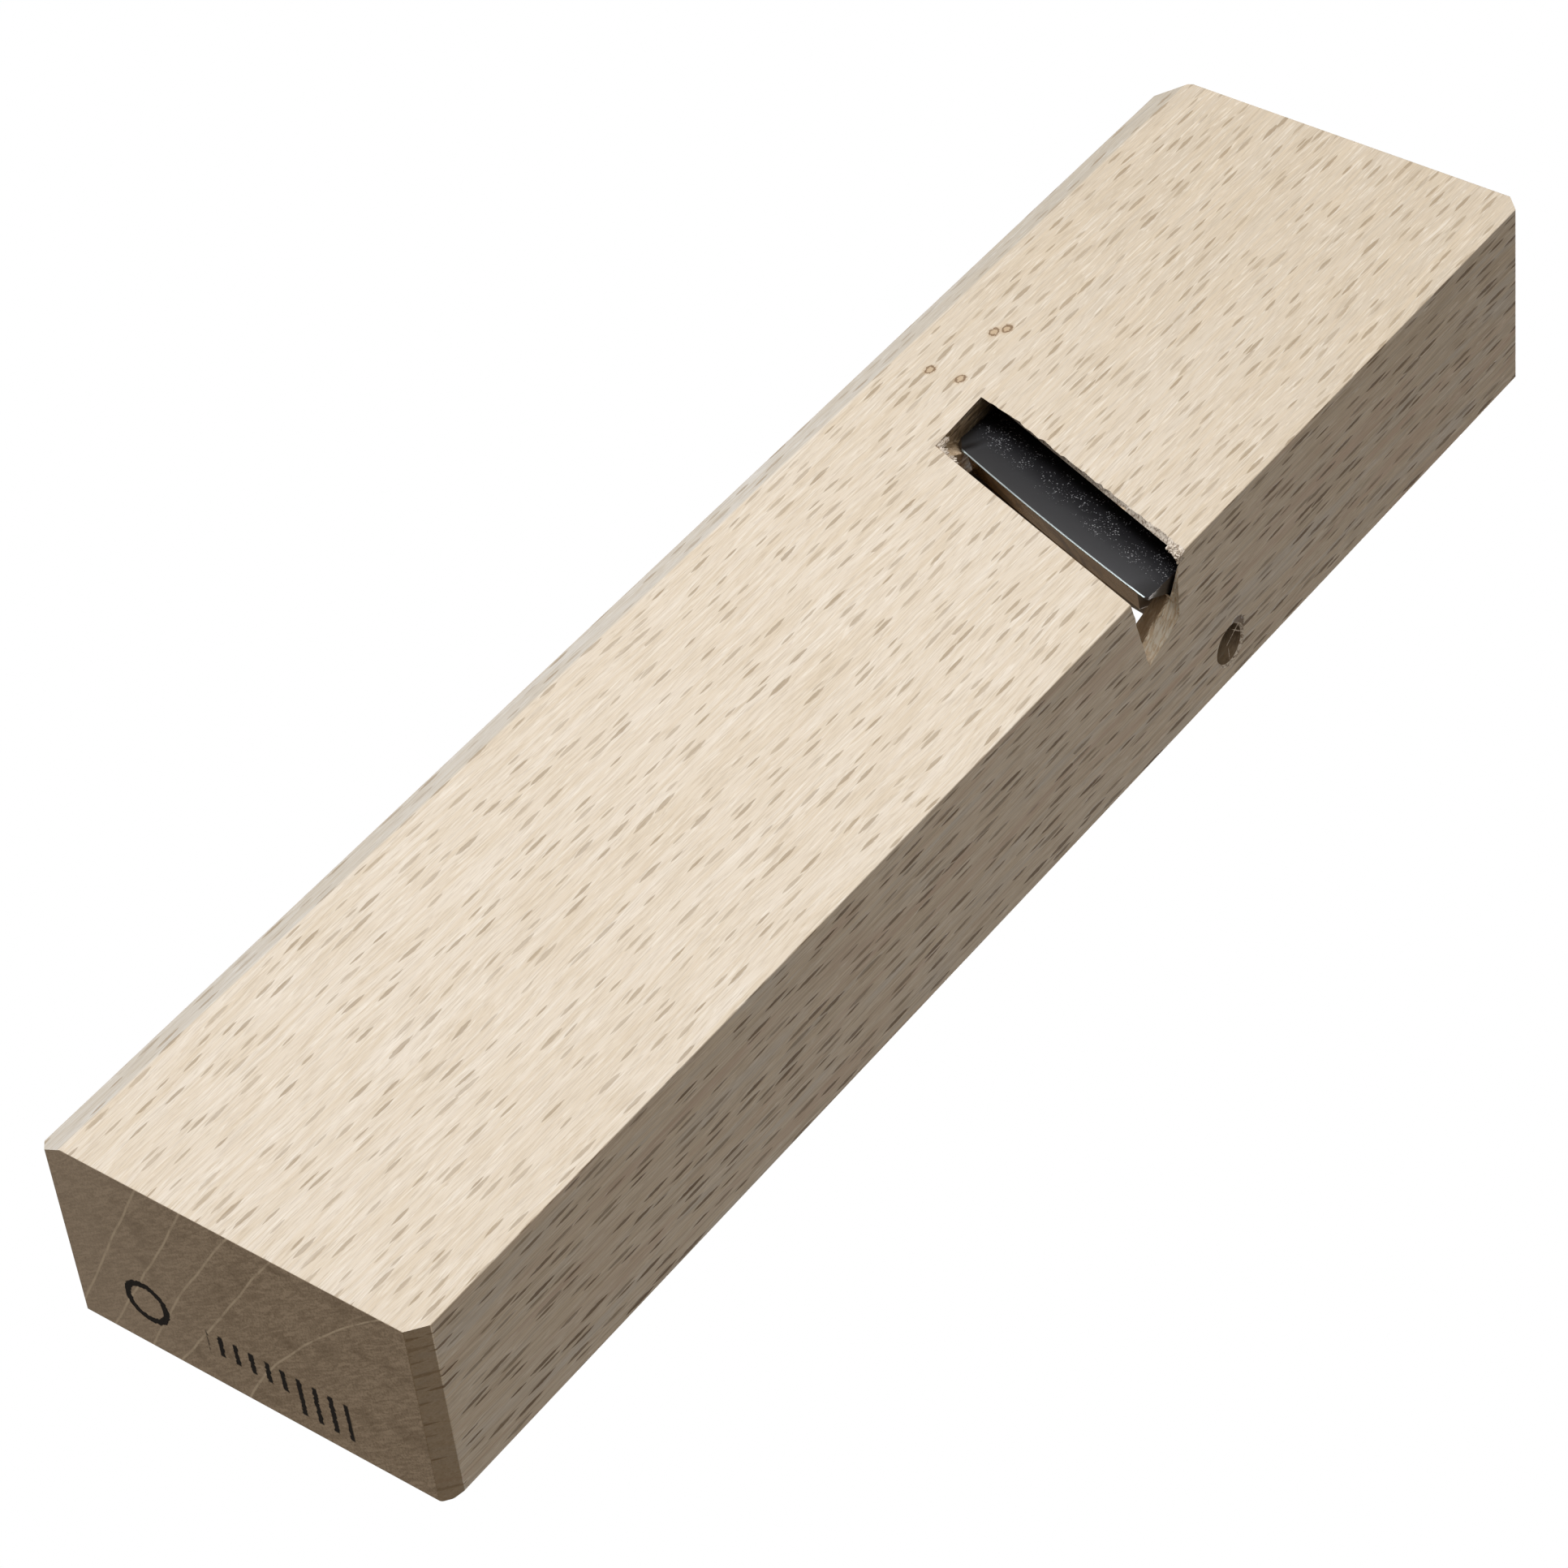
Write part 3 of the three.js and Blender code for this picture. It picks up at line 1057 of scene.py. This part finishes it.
@dataclass
class BeechBody:
    """The wooden body with its mouth, throat, chip escape and pin hole.

    Attributes:
        node: The body's solid.
        arris: How far in the planed edges are rounded, in millimetres.
        lip: Width of the knife edge that is pared off behind the mouth, in millimetres.
        teeth: How many pieces that pared edge breaks into.
        rim: Width of the broken rim of the pin's hole, in millimetres.
        throat: Where the throat's marks are along X, Y and Z, in millimetres.
        slice: Size of a mark there.
        mouth: Where the mouth's marks are.
        chisel: Size of a mark there.
        hole: Lowest and highest corner of a box round the pin's hole in the open side.
        planed: Finish of the planed faces.
        cut: Finish of the cut faces.
        torn: Finish of the torn edges.
    """

    node: bpy.types.Object
    arris: float = 0.14
    lip: float = 0.5
    teeth: int = 71
    rim: float = 0.3
    throat: Spans = ((-60.0, -4.0), (-18.5, 15.0), (0.0, 19.0))
    slice: float = 3.1
    mouth: Spans = ((-32.0, -13.0), (-18.5, 8.0), (0.0, 9.0))
    chisel: float = 0.9
    hole: tuple[Triple, Triple] = ((-31.0, -18.6, 10.0), (-25.5, -18.45, 17.5))
    planed: Beech = Beech(
        "Beech_Planed",
        knots=((-38.6, 10.0), (-37.7, 10.7), (-30.9, 12.5), (-31.2, 9.6)),
        chip=(-29.4, 13.4, 1.1, 1.0),
    )
    cut: Beech = Beech("Beech_Cut", pale=(0.92, 0.77, 0.58), tan=(0.70, 0.54, 0.36), rough=1.0)
    torn: TornFibre = TornFibre()

    def outside(self, face: bmesh.types.BMFace) -> bool:
        """Tells whether a face is one of the body's planed outer faces.

        Args:
            face: A face of the body.

        Returns:
            True for a planed face, and False for a cut one.
        """
        low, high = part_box(self.node.name)
        centre = face.calc_center_median()
        if face.normal.z < -0.99:
            return centre.z < 0.1 * MM
        near = 0.05 * MM
        flat = any(min(abs(centre[i] - low[i]), abs(centre[i] - high[i])) < near for i in range(3))
        corner = abs(centre.x) > 73.2 * MM or abs(centre.y) > 17.0 * MM and centre.z > 18.3 * MM
        chamfer = centre.y > 15.9 * MM and centre.z < 1.5 * MM
        return flat or corner or chamfer

    def build(self) -> bpy.types.Object:
        """Builds and dresses the body.

        Returns:
            The piece that stands for the solid.
        """
        bm = merged_copy(self.node)
        for face in bm.faces:
            face.material_index = Wood.PLANED if self.outside(face) else Wood.CUT
        bm.normal_update()

        def behind_mouth(edge: bmesh.types.BMEdge) -> bool:
            """Picks the knife edge at the back of the mouth."""
            return edge.is_convex and angle_of(edge) > 140 and max(v.co.z for v in edge.verts) < NEAR

        def long_edge(edge: bmesh.types.BMEdge) -> bool:
            """Picks the long outer edges."""
            return edge.is_convex and 20 < angle_of(edge) < 120 and edge.calc_length() > 2.6 * MM

        for wanted, width in ((behind_mouth, self.lip), (self.at_hole, self.rim)):
            for face in soften(bm, width * MM, wanted, 1, width=True):
                face.material_index = Wood.TORN
        self.fray(bm)
        self.carve(bm, self.throat, self.slice)
        self.carve(bm, self.mouth, self.chisel, self.near_mouth)
        self.sink(bm)
        soften(bm, self.arris * MM, long_edge)
        materials = [self.planed.material(), self.cut.material(), self.torn.material()]
        made = piece(bm, "body_wood", "body", materials)
        weighted = made.modifiers.new("even_normals", "WEIGHTED_NORMAL")
        weighted.keep_sharp = True
        weighted.weight = 100
        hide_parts(self.node.name)
        return made

    def fray(self, bm: bmesh.types.BMesh) -> None:
        """Breaks up the pared edge behind the mouth, and slopes it back.

        Args:
            bm: The body's mesh.
        """
        def on_sole(vert: bmesh.types.BMVert) -> bool:
            """Tells whether a corner of the pared strip is on the sole."""
            kinds = {f.material_index for f in vert.link_faces}
            return vert.co.z < NEAR and kinds >= {Wood.PLANED, Wood.TORN}

        strip = [e for e in bm.edges if all(on_sole(v) for v in e.verts)]
        bmesh.ops.subdivide_edges(bm, edges=strip, cuts=self.teeth - 1)
        for vert in bm.verts:
            if on_sole(vert):
                ragged = noise.noise(vert.co / MM * 1.3) + 0.6 * noise.noise(vert.co / MM * 3.7)
                from_corner = (vert.co - MOUTH_BACK_INNER * MM).length / MM
                vert.co.x -= min(1.0, from_corner / 4.0) * (0.30 + 0.24 * ragged) * MM

    def carve(
        self,
        bm: bmesh.types.BMesh,
        spans: Spans,
        size: float,
        wanted: Callable[[bmesh.types.BMFace], bool] = lambda face: True,
    ) -> None:
        """Slices the cut faces into a grid, whose corners sink() moves.

        Args:
            bm: The body's mesh.
            spans: From where to where along X, Y and Z, in millimetres.
            size: Distance between two slices.
            wanted: Says which of the cut faces.
        """
        for axis, (low, high) in enumerate(spans):
            for i in range(1, int((high - low) / size)):
                faces = [f for f in bm.faces if f.material_index != Wood.PLANED and wanted(f)]
                geom = set(faces) | {e for f in faces for e in f.edges} | {v for f in faces for v in f.verts}
                point, way = Vector(), Vector()
                point[axis] = (low + i * size + 0.037) * MM
                way[axis] = 1.0
                bmesh.ops.bisect_plane(bm, geom=list(geom), dist=WELD, plane_co=point, plane_no=way)
        bm.normal_update()

    def sink(self, bm: bmesh.types.BMesh) -> None:
        """Sinks the carved faces a little, and makes the chip escape's open end ragged.

        Args:
            bm: The body's mesh.
        """
        moves = []
        for vert in bm.verts:
            at = vert.co / MM
            if -24 < at.x < -13.5 and at.z < 9 and at.y < OPEN_SIDE + 0.01:
                if at.z > 1.3:
                    jag = Vector((noise.noise(at * 2.3), 0.0, noise.noise(at * 2.9 + Vector((7, 3, 1)))))
                    moves.append((vert, 0.16 * jag * MM))
            elif self.carved(vert):
                moves.append((vert, vert.normal * -self.mark_depth(at) * MM))
        for vert, move in moves:
            vert.co += move
        low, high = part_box(self.node.name)
        for vert in bm.verts:
            vert.co = Vector([min(max(c, low[i]), high[i]) for i, c in enumerate(vert.co)])

    def carved(self, vert: bmesh.types.BMVert) -> bool:
        """Tells whether a corner is in the middle of a cut face, and not on its edge.

        Args:
            vert: A corner of the body's mesh.

        Returns:
            True in the middle of a cut face.
        """
        if any(f.material_index == Wood.PLANED for f in vert.link_faces):
            return False
        return all(len(e.link_faces) == 2 and angle_of(e) <= 12 for e in vert.link_edges)

    def mark_depth(self, at: Vector) -> float:
        """Returns how deep the chisel went at a place.

        Args:
            at: The place, in millimetres.

        Returns:
            The depth in millimetres, less towards the open side and the sole.
        """
        coarse = noise.noise(Vector((at.x * 0.5, at.y * 1.3, at.z * 0.9)))
        finer = noise.noise(at * 2.1)
        depth = 0.055 * (1 + coarse) + 0.03 * (1 + finer)
        if at.x > -23 and at.y < -13 and at.z < 9:
            depth *= 2.6
        return min(depth, 0.5 * (at.y - OPEN_SIDE), 0.5 * at.z)

    def at_hole(self, edge: bmesh.types.BMEdge) -> bool:
        """Picks the rim of the pin's hole on the open side.

        Args:
            edge: An edge of the body's mesh.

        Returns:
            True on the rim.
        """
        low, high = (Vector(corner) * MM for corner in self.hole)
        inside = all(low[i] < v.co[i] < high[i] for v in edge.verts for i in range(3))
        return inside and {f.material_index for f in edge.link_faces} == {Wood.PLANED, Wood.CUT}

    def near_mouth(self, face: bmesh.types.BMFace) -> bool:
        """Tells whether a face is close enough to the sole to be seen through the mouth."""
        centre = face.calc_center_median() / MM
        return centre.z < 9.0 and centre.x < -13.0


@dataclass
class TornFibres:
    """Wood fibres torn out round the mouth, the chip escape and the pin's hole.

    Attributes:
        seed: Seed of the random draws.
        slivers: Single fibres: root, direction, length and thickness, in millimetres.
        lumps: Torn lumps: middle, and half the size along X, Y and Z, in millimetres.
        finish: Their finish.
    """

    seed: int = 7
    slivers: tuple[tuple[Triple, Triple, float, float], ...] = (
        ((-30.2, -18.44, 13.1), (0.9, 0.0, 0.55), 2.9, 0.05),
        ((-29.9, -18.40, 14.4), (0.8, 0.0, -0.75), 1.6, 0.06),
        ((-28.3, -18.42, 16.3), (0.1, 0.0, -1.0), 1.3, 0.07),
    )
    lumps: tuple[tuple[Triple, Triple], ...] = (
        ((-22.94, 5.82, 0.46), (0.53, 0.77, 0.38)),
        ((-22.62, 4.72, 0.57), (0.46, 0.76, 0.46)),
        ((-23.9, 6.4, 0.36), (0.95, 0.42, 0.3)),
        ((-22.52, -18.1, 0.42), (0.62, 0.7, 0.36)),
        ((-22.35, -18.3, 0.8), (0.48, 0.45, 0.36)),
        ((-22.72, -17.4, 0.3), (0.55, 0.6, 0.28)),
    )
    finish: TornFibre = TornFibre()

    def sliver(
        self, bm: bmesh.types.BMesh, root: Vector, towards: Vector, length: float, radius: float
    ) -> None:
        """Adds one tapered fibre.

        Args:
            bm: The mesh it goes in.
            root: Where it starts, in millimetres.
            towards: Its direction.
            length: Its length in millimetres.
            radius: Its thickness at the root, in millimetres.
        """
        turn = towards.to_track_quat("Z", "Y").to_matrix().to_4x4()
        middle = (root + towards.normalized() * length / 2) * MM
        bmesh.ops.create_cone(
            bm,
            cap_ends=True,
            segments=4,
            radius1=radius * MM,
            radius2=0.25 * radius * MM,
            depth=length * MM,
            matrix=Matrix.Translation(middle) @ turn,
        )

    def fringe(
        self,
        bm: bmesh.types.BMesh,
        line: tuple[Vector, Vector],
        lean: Vector,
        count: int = 26,
        lengths: tuple[float, float] = (0.2, 0.5),
        radius: float = 0.08,
        scatter: float = 0.35,
    ) -> None:
        """Adds a row of fibres along a line.

        Args:
            bm: The mesh they go in.
            line: The line's two ends, in millimetres.
            lean: The direction most of them take.
            count: How many.
            lengths: Shortest and longest, in millimetres.
            radius: Thickness of a fibre.
            scatter: How much their directions differ.
        """
        draw = random.Random(self.seed + count)
        start, end = line
        for _ in range(count):
            root = start.lerp(end, draw.random()) + Vector([draw.gauss(0, 0.04) for _ in range(3)])
            way = lean.normalized() + Vector([draw.gauss(0, scatter) for _ in range(3)])
            self.sliver(bm, root, way, draw.uniform(*lengths), radius * draw.uniform(0.5, 1.3))

    def lump(self, bm: bmesh.types.BMesh, centre: Vector, size: Vector) -> None:
        """Adds a torn lump of wood with a broken surface.

        Args:
            bm: The mesh it goes in.
            centre: Its middle, in millimetres.
            size: Half its size along X, Y and Z.
        """
        for vert in bmesh.ops.create_icosphere(bm, subdivisions=4, radius=1.0)["verts"]:
            at = vert.co.copy()
            ridge = abs(noise.noise(Vector((at.x * 0.8, at.y * 3.4, at.z * 3.4)) + centre))
            splinter = noise.noise(Vector((at.x * 1.4, at.y * 9.0, at.z * 9.0)) + centre)
            reach = 0.7 + 0.75 * ridge + 0.3 * splinter
            vert.co = (centre + Vector([a * b for a, b in zip(at, size)]) * reach) * MM

    def keep_inside(self, bm: bmesh.types.BMesh) -> None:
        """Holds the fibres just inside the sole and the open side.

        Args:
            bm: The fibres' mesh.
        """
        for vert in bm.verts:
            vert.co.z = max(vert.co.z, 0.02 * MM)
            vert.co.y = max(vert.co.y, (OPEN_SIDE + 0.02) * MM)

    def build(self) -> bpy.types.Object:
        """Builds and dresses the fibres.

        Returns:
            The piece.
        """
        bm = bmesh.new()
        above = Vector((0, 0, 0.15))
        self.fringe(bm, (MOUTH_END_INNER + above, MOUTH_FRONT_INNER + above), Vector((-1, 0, 0.5)))
        for root, way, length, radius in self.slivers:
            self.sliver(bm, Vector(root), Vector(way), length, radius)
        for centre, size in self.lumps:
            self.lump(bm, Vector(centre), Vector(size))
        self.keep_inside(bm)
        return piece(bm, "mouth_fibres", "body", [self.finish.material()])


@dataclass
class Blade:
    """The laminated blade, with a fine second bevel along its edge.

    Attributes:
        node: The blade's solid.
        edge: Width of that second bevel, in millimetres.
        round: How far in the forged edges are rounded, in millimetres.
        bevel_way: Which way the ground bevel faces.
        forged: Finish of the forged faces.
        bevel: Finish of the ground bevel.
        bright: Finish of the second bevel.
    """

    node: bpy.types.Object
    edge: float = 0.34
    round: float = 0.22
    bevel_way: Triple = (-0.165, -0.054, -0.985)
    forged: Steel = Steel(
        "Iron_Forged",
        colour=(0.12, 0.12, 0.125),
        stain=(0.17, 0.13, 0.10),
        rough=0.40,
        lines=(0.4, 0.4, 0.4),
        pits=0.035,
        dents=0.28,
    )
    bevel: GroundBevel = GroundBevel()
    bright: Steel = Steel(
        "Steel_Edge",
        colour=(0.52, 0.60, 0.62),
        stain=(0.30, 0.36, 0.38),
        rough=0.36,
        lines=(4.0, 4.0, 4.0),
        pits=0.001,
    )

    def build(self) -> bpy.types.Object:
        """Builds and dresses the blade.

        Returns:
            The piece that stands for the solid.
        """
        bm = merged_copy(self.node, 0.2)
        for face in bm.faces:
            face.material_index = int(face.normal.dot(Vector(self.bevel_way)) > 0.97)

        def cutting(edge: bmesh.types.BMEdge) -> bool:
            """Picks the cutting edge."""
            return {f.material_index for f in edge.link_faces} == {0, 1} and angle_of(edge) > 140

        for face in soften(bm, self.edge * MM, cutting, 3):
            face.material_index = 2
        soften(bm, self.round * MM, outer_edge, 3)
        materials = [self.forged.material(), self.bevel.material(), self.bright.material()]
        made = piece(bm, "blade_steel_laminated", "blade", materials)
        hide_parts(self.node.name)
        return made


@dataclass
class Chipbreaker:
    """The chipbreaker, with its polished bevel and bent corners.

    Attributes:
        node: The chipbreaker's solid.
        round: How far in its edges are rounded, in millimetres.
        bevel_way: Which way the polished bevel faces.
        rolled: Finish of the plate.
        polished: Finish of the bevel, whose brown colour is a painted reflection of the wood.
    """

    node: bpy.types.Object
    round: float = 0.15
    bevel_way: Triple = (0.926, 0.062, 0.373)
    rolled: Steel = Steel(
        "Steel_Rolled",
        colour=(0.28, 0.265, 0.25),
        stain=(0.16, 0.125, 0.10),
        rough=0.34,
        lines=(0.35, 0.35, 0.35),
        pits=0.015,
        dents=0.10,
    )
    # Painted reflection: the polished bevel is coloured brown for the wood it would mirror.
    polished: Steel = Steel(
        "Steel_Polished_Painted_Reflection",
        colour=(0.36, 0.21, 0.06),
        stain=(0.10, 0.05, 0.015),
        patches=0.6,
        rough=0.28,
        lines=(1.2, 0.3, 0.3),
        pits=0.002,
    )

    def build(self) -> bpy.types.Object:
        """Builds and dresses the chipbreaker.

        Returns:
            The piece that stands for the solid.
        """
        bm = merged_copy(self.node, 0.2)
        for face in bm.faces:
            face.material_index = int(face.normal.dot(Vector(self.bevel_way)) > 0.95)
        soften(bm, self.round * MM, outer_edge)
        materials = [self.rolled.material(), self.polished.material()]
        made = piece(bm, "chipbreaker_steel_plate", "chipbreaker", materials)
        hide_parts(self.node.name)
        return made


@dataclass
class PressingPin:
    """The steel pin that holds the chipbreaker down.

    Attributes:
        node: The pin's solid.
        drawn: Its finish, brown partly for rust and partly as a painted reflection of the wood.
    """

    node: bpy.types.Object
    # Partly rust, partly painted reflection: the steel is coloured brown for the wood round it.
    drawn: Steel = Steel(
        "Steel_Pin_Rust_And_Painted_Reflection",
        colour=(0.20, 0.16, 0.12),
        stain=(0.09, 0.06, 0.035),
        rough=0.42,
        lines=(0.15, 0.15, 0.15),
    )

    def build(self) -> bpy.types.Object:
        """Dresses the pin's own solid.

        Returns:
            The solid.
        """
        self.node.data.materials.clear()
        self.node.data.materials.append(self.drawn.material())
        return self.node


@dataclass(frozen=True)
class Softbox:
    """One soft studio light that points at the object.

    Attributes:
        name: The light's name.
        way: Direction from the object to the light.
        distance: Metres away.
        size: Width in metres.
        power: Watts.
        tint: Its colour.
    """

    name: str
    way: Triple
    distance: float
    size: float
    power: float
    tint: Colour = (1.0, 1.0, 1.0)

    def build(self) -> None:
        """Builds the light."""
        data = bpy.data.lights.new(self.name, "AREA")
        data.shape = "SQUARE"
        data.size = self.size
        data.energy = self.power
        data.color = self.tint
        made = bpy.data.objects.new(self.name, data)
        way = Vector(self.way).normalized()
        made.location = way * self.distance + Vector((0, 0, 0.01))
        made.rotation_euler = way.to_track_quat("Z", "Y").to_euler()
        made.visible_camera = False
        bpy.context.scene.collection.objects.link(made)


@dataclass
class Studio:
    """Floor, lights, world and camera.

    Attributes:
        lens: Focal length for a 36 mm sensor.
        eye: Where the camera is.
        gaze: Where it looks.
        top: Its upward direction.
        ambient: Light from all round.
        floor_radius: Metres from the middle of the floor to its rim.
        floor_gap: How far the floor is under the sole, in metres.
        lights: The lights.
    """

    lens: float = 125.73
    eye: Triple = (0.246275, -0.21168, -0.290656)
    gaze: Triple = (-0.54384, 0.48324, 0.68609)
    top: Triple = (-0.59291, 0.35733, -0.72165)
    ambient: Colour = (0.228, 0.199, 0.172)
    floor_radius: float = 6.0
    floor_gap: float = 0.0005
    lights: tuple[Softbox, ...] = (
        Softbox("key_below", (-0.25, 0.30, -0.90), 1.2, 0.7, 10.0, (1.0, 0.99, 0.99)),
        Softbox("fill_open", (0.25, -0.50, -0.83), 1.2, 0.6, 2.6, (1.0, 0.95, 0.86)),
        Softbox("glint_below", (-0.20, 0.85, -0.48), 1.2, 0.7, 4.0),
        Softbox("key_above", (-0.62, 0.14, 0.77), 1.2, 0.7, 13.0),
    )

    def floor(self) -> None:
        """Builds the floor."""
        bm = bmesh.new()
        lowered = Matrix.Translation((0, 0, -self.floor_gap))
        bmesh.ops.create_circle(bm, cap_ends=True, segments=96, radius=self.floor_radius, matrix=lowered)
        mesh = bpy.data.meshes.new("floor")
        bm.to_mesh(mesh)
        bm.free()
        mesh.materials.append(FloorPaint().material())
        made = bpy.data.objects.new("floor", mesh)
        bpy.context.scene.collection.objects.link(made)
        for kind in ("diffuse", "glossy", "transmission", "shadow"):
            setattr(made, f"visible_{kind}", False)

    def world(self) -> None:
        """Builds the surroundings: white where the camera sees them, and dimmer as light."""
        made = bpy.data.worlds.new("studio")
        made.use_nodes = True
        tree = made.node_tree
        tree.nodes.clear()
        seen, light = (tree.nodes.new("ShaderNodeBackground") for _ in range(2))
        seen.inputs[0].default_value = (1, 1, 1, 1)
        light.inputs[0].default_value = (*self.ambient, 1)
        switch = tree.nodes.new("ShaderNodeMixShader")
        tree.links.new(tree.nodes.new("ShaderNodeLightPath").outputs["Is Camera Ray"], switch.inputs[0])
        tree.links.new(light.outputs[0], switch.inputs[1])
        tree.links.new(seen.outputs[0], switch.inputs[2])
        tree.links.new(switch.outputs[0], tree.nodes.new("ShaderNodeOutputWorld").inputs[0])
        bpy.context.scene.world = made

    def camera(self) -> None:
        """Builds the camera."""
        data = bpy.data.cameras.new("camera")
        data.lens = self.lens
        data.sensor_width = 36.0
        data.clip_start = 0.01
        data.clip_end = 50.0
        made = bpy.data.objects.new("camera", data)
        back = -Vector(self.gaze).normalized()
        right = Vector(self.top).cross(back).normalized()
        turn = Matrix((right, back.cross(right), back)).transposed().to_quaternion()
        made.matrix_world = Matrix.LocRotScale(Vector(self.eye), turn, None)
        bpy.context.scene.collection.objects.link(made)
        bpy.context.scene.camera = made

    def build(self) -> None:
        """Builds everything round the object."""
        self.floor()
        self.world()
        self.camera()
        for light in self.lights:
            light.build()
        bpy.context.scene.view_settings.view_transform = "Standard"


def main() -> None:
    """Loads the solids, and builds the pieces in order."""
    logging.basicConfig(level=logging.INFO, format="%(message)s")
    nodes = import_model()["nodes"]
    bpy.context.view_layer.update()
    makers = (
        BeechBody(nodes["body"]),
        TornFibres(),
        Blade(nodes["blade"]),
        Chipbreaker(nodes["chipbreaker"]),
        PressingPin(nodes["pressing_pin"]),
    )
    for maker in makers:
        made = maker.build()
        log.info("%s: %d faces", made.name, len(made.data.polygons))
    Studio().build()


if __name__ == "__main__":
    main()
